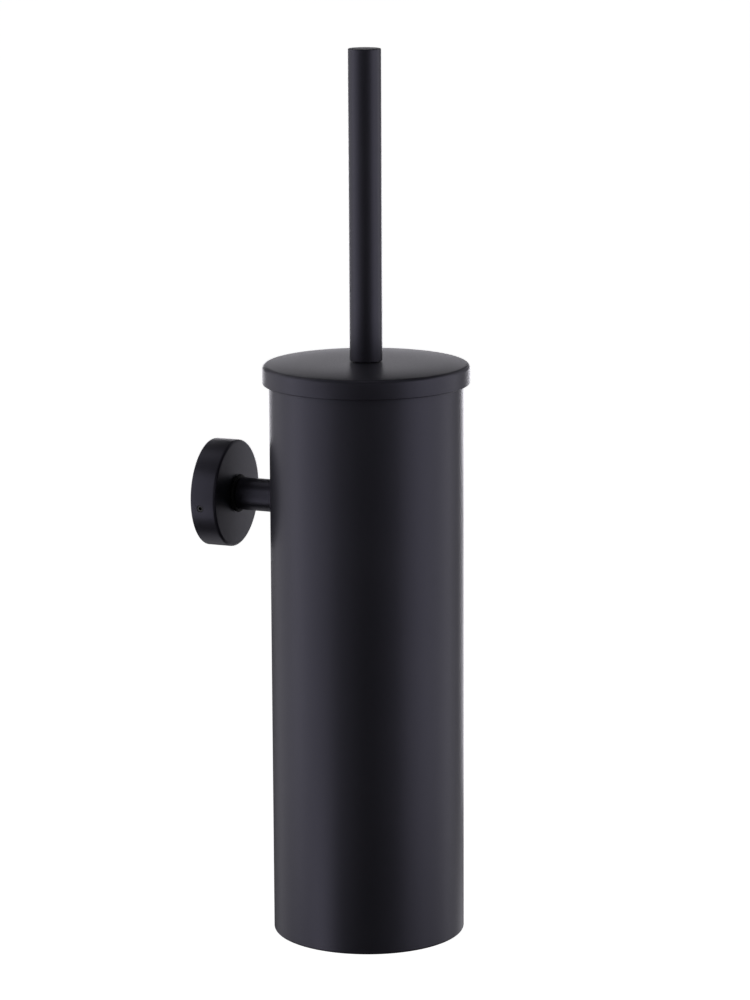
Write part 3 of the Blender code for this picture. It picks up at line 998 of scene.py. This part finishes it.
def bristle_tip():
    """The tufts of the head's domed end, in rings that lean further out towards its edge. A ring is
    given by its lean from straight down, in degrees, and its number of tufts."""
    draw = random.Random(11)
    tilted_rings = ((0, 1), (30, 6), (58, 10))
    low = heights_of("bristle_tip")[0]
    radius = radius_of("bristle_tip")
    nose = heights_of("head_core")[0]
    root_reach = 0.0058
    ring_spread = 0.0045
    clearance = 0.0008
    core_reach = 0.008
    body = bmesh.new()
    for tilt, count in tilted_rings:
        lean = math.radians(tilt)
        for i in range(count):
            turn = 2 * math.pi * i / count
            outward = Vector(
                (math.sin(lean) * math.cos(turn), math.sin(lean) * math.sin(turn), -math.cos(lean))
            )
            root = CUP_AXIS + Vector((0, 0, nose + CORE_DOME)) + outward * root_reach
            if tilt:
                root += Vector((outward.x, outward.y, 0)) * ring_spread
            room = (root.z - low) / math.cos(lean)
            side_room = (radius - core_reach) / max(math.sin(lean), 0.01)
            length = min(room, side_room) - clearance
            tuft(body, draw, root, outward, length, fan_up=0.12, fan_side=0.4, bow=0.0003, strands=34)
    mesh = finished_mesh("tip_tufts", body)
    new_piece("tip_tufts", mesh, "brush", "bristles", "bristle_tip")


cup_shell()
cup_base()
rose_cover()
rose_grub_screw()
wall_bracket()
arm_collar()
support_arm()
headed_screw("rose_screw", "rose_fixing_screw", head=0.0022, faces_wall=True)
headed_screw("cup_screw", "cup_fixing_screw", head=0.0016, faces_wall=False)
saddle_washer()
inner_cup()
lid()
lid_bush()
handle_tube()
stem_ring("handle_plug", "handle_insert", edge=0.0003)
stem_ring("washer", "stem_washer", edge=0.0002)
stem_rod()
lock_nut()
head_core()
bristle_rows()
bristle_tip()


# ---------------------------------------------------------------- studio


def camera():
    data = bpy.data.cameras.new("camera")
    data.lens = CAMERA_LENS
    data.sensor_width = CAMERA_SENSOR
    data.sensor_fit = "AUTO"
    data.dof.use_dof = False
    data.clip_start = CAMERA_NEAREST
    data.clip_end = CAMERA_FARTHEST
    obj = bpy.data.objects.new("camera", data)
    bpy.context.scene.collection.objects.link(obj)
    bearing = CAMERA_BEARING - CAMERA_PAN
    forward = Vector((math.cos(bearing), math.sin(bearing), 0)) * math.cos(CAMERA_DOWN)
    forward.z = -math.sin(CAMERA_DOWN)
    level = forward.to_track_quat("-Z", "Y").to_matrix().to_4x4()
    place = CUP_FOOT - VIEW_FORWARD * CAMERA_DISTANCE + UP * CAMERA_HEIGHT
    obj.matrix_world = Matrix.Translation(place) @ level @ Matrix.Rotation(CAMERA_ROLL, 4, "Z")
    bpy.context.scene.camera = obj


def soft_light(name, bearing, height, distance, width, tall, power):
    """A soft box that faces the cup's axis at the arm's level. Its height is measured from there,
    and its bearing from the camera's side of the cup, with left negative."""
    data = bpy.data.lights.new(name, "AREA")
    data.shape = "RECTANGLE"
    data.size = width
    data.size_y = tall
    data.energy = power
    data.color = LIGHT_COLOUR
    obj = bpy.data.objects.new(name, data)
    bpy.context.scene.collection.objects.link(obj)
    angle = math.radians(bearing)
    outward = VIEW_FORWARD * -math.cos(angle) + VIEW_RIGHT * math.sin(angle)
    place = CUP_AXIS + outward * distance + UP * height
    aim = (CUP_AXIS - place).to_track_quat("-Z", "Y").to_matrix().to_4x4()
    obj.matrix_world = Matrix.Translation(place) @ aim
    obj.visible_camera = False


def world():
    """White behind the set as the camera sees it, and next to no light from it on the set."""
    made = bpy.data.worlds.new("studio")
    made.use_nodes = True
    nodes = made.node_tree.nodes
    links = made.node_tree.links
    ambient = nodes["Background"]
    ambient.inputs["Color"].default_value = (1, 1, 1, 1)
    ambient.inputs["Strength"].default_value = AMBIENT_STRENGTH
    white = nodes.new("ShaderNodeBackground")
    white.inputs["Color"].default_value = (1, 1, 1, 1)
    white.inputs["Strength"].default_value = 1.0
    path = nodes.new("ShaderNodeLightPath")
    mix = nodes.new("ShaderNodeMixShader")
    links.new(path.outputs["Is Camera Ray"], mix.inputs["Fac"])
    links.new(ambient.outputs["Background"], mix.inputs[1])
    links.new(white.outputs["Background"], mix.inputs[2])
    links.new(mix.outputs["Shader"], nodes["World Output"].inputs["Surface"])
    bpy.context.scene.world = made


def floor():
    """A plain white floor well below the set, lit evenly by itself."""
    grid = bmesh.new()
    bmesh.ops.create_grid(grid, x_segments=1, y_segments=1, size=FLOOR_HALF_WIDTH)
    mesh = bpy.data.meshes.new("floor")
    grid.to_mesh(mesh)
    grid.free()
    obj = bpy.data.objects.new("floor", mesh)
    bpy.context.scene.collection.objects.link(obj)
    obj.location.z = CUP_LOW.z - FLOOR_DROP
    material = bpy.data.materials.new("floor_white")
    material.use_nodes = True
    shader = material.node_tree.nodes["Principled BSDF"]
    shader.inputs["Base Color"].default_value = (0.9, 0.9, 0.9, 1)
    shader.inputs["Emission Color"].default_value = (1, 1, 1, 1)
    shader.inputs["Emission Strength"].default_value = 1.0
    mesh.materials.append(material)
    obj.visible_diffuse = False
    obj.visible_glossy = False


camera()
world()
floor()
for bearing, power in SIDE_BOXES:
    soft_light(
        f"side_box_{bearing}",
        bearing,
        SIDE_BOX_HEIGHT,
        SIDE_BOX_DISTANCE,
        SIDE_BOX_WIDTH,
        SIDE_BOX_TALL,
        power,
    )
for name, *settings in SMALL_BOXES:
    soft_light(name, *settings)
bpy.context.scene.view_settings.view_transform = "Standard"
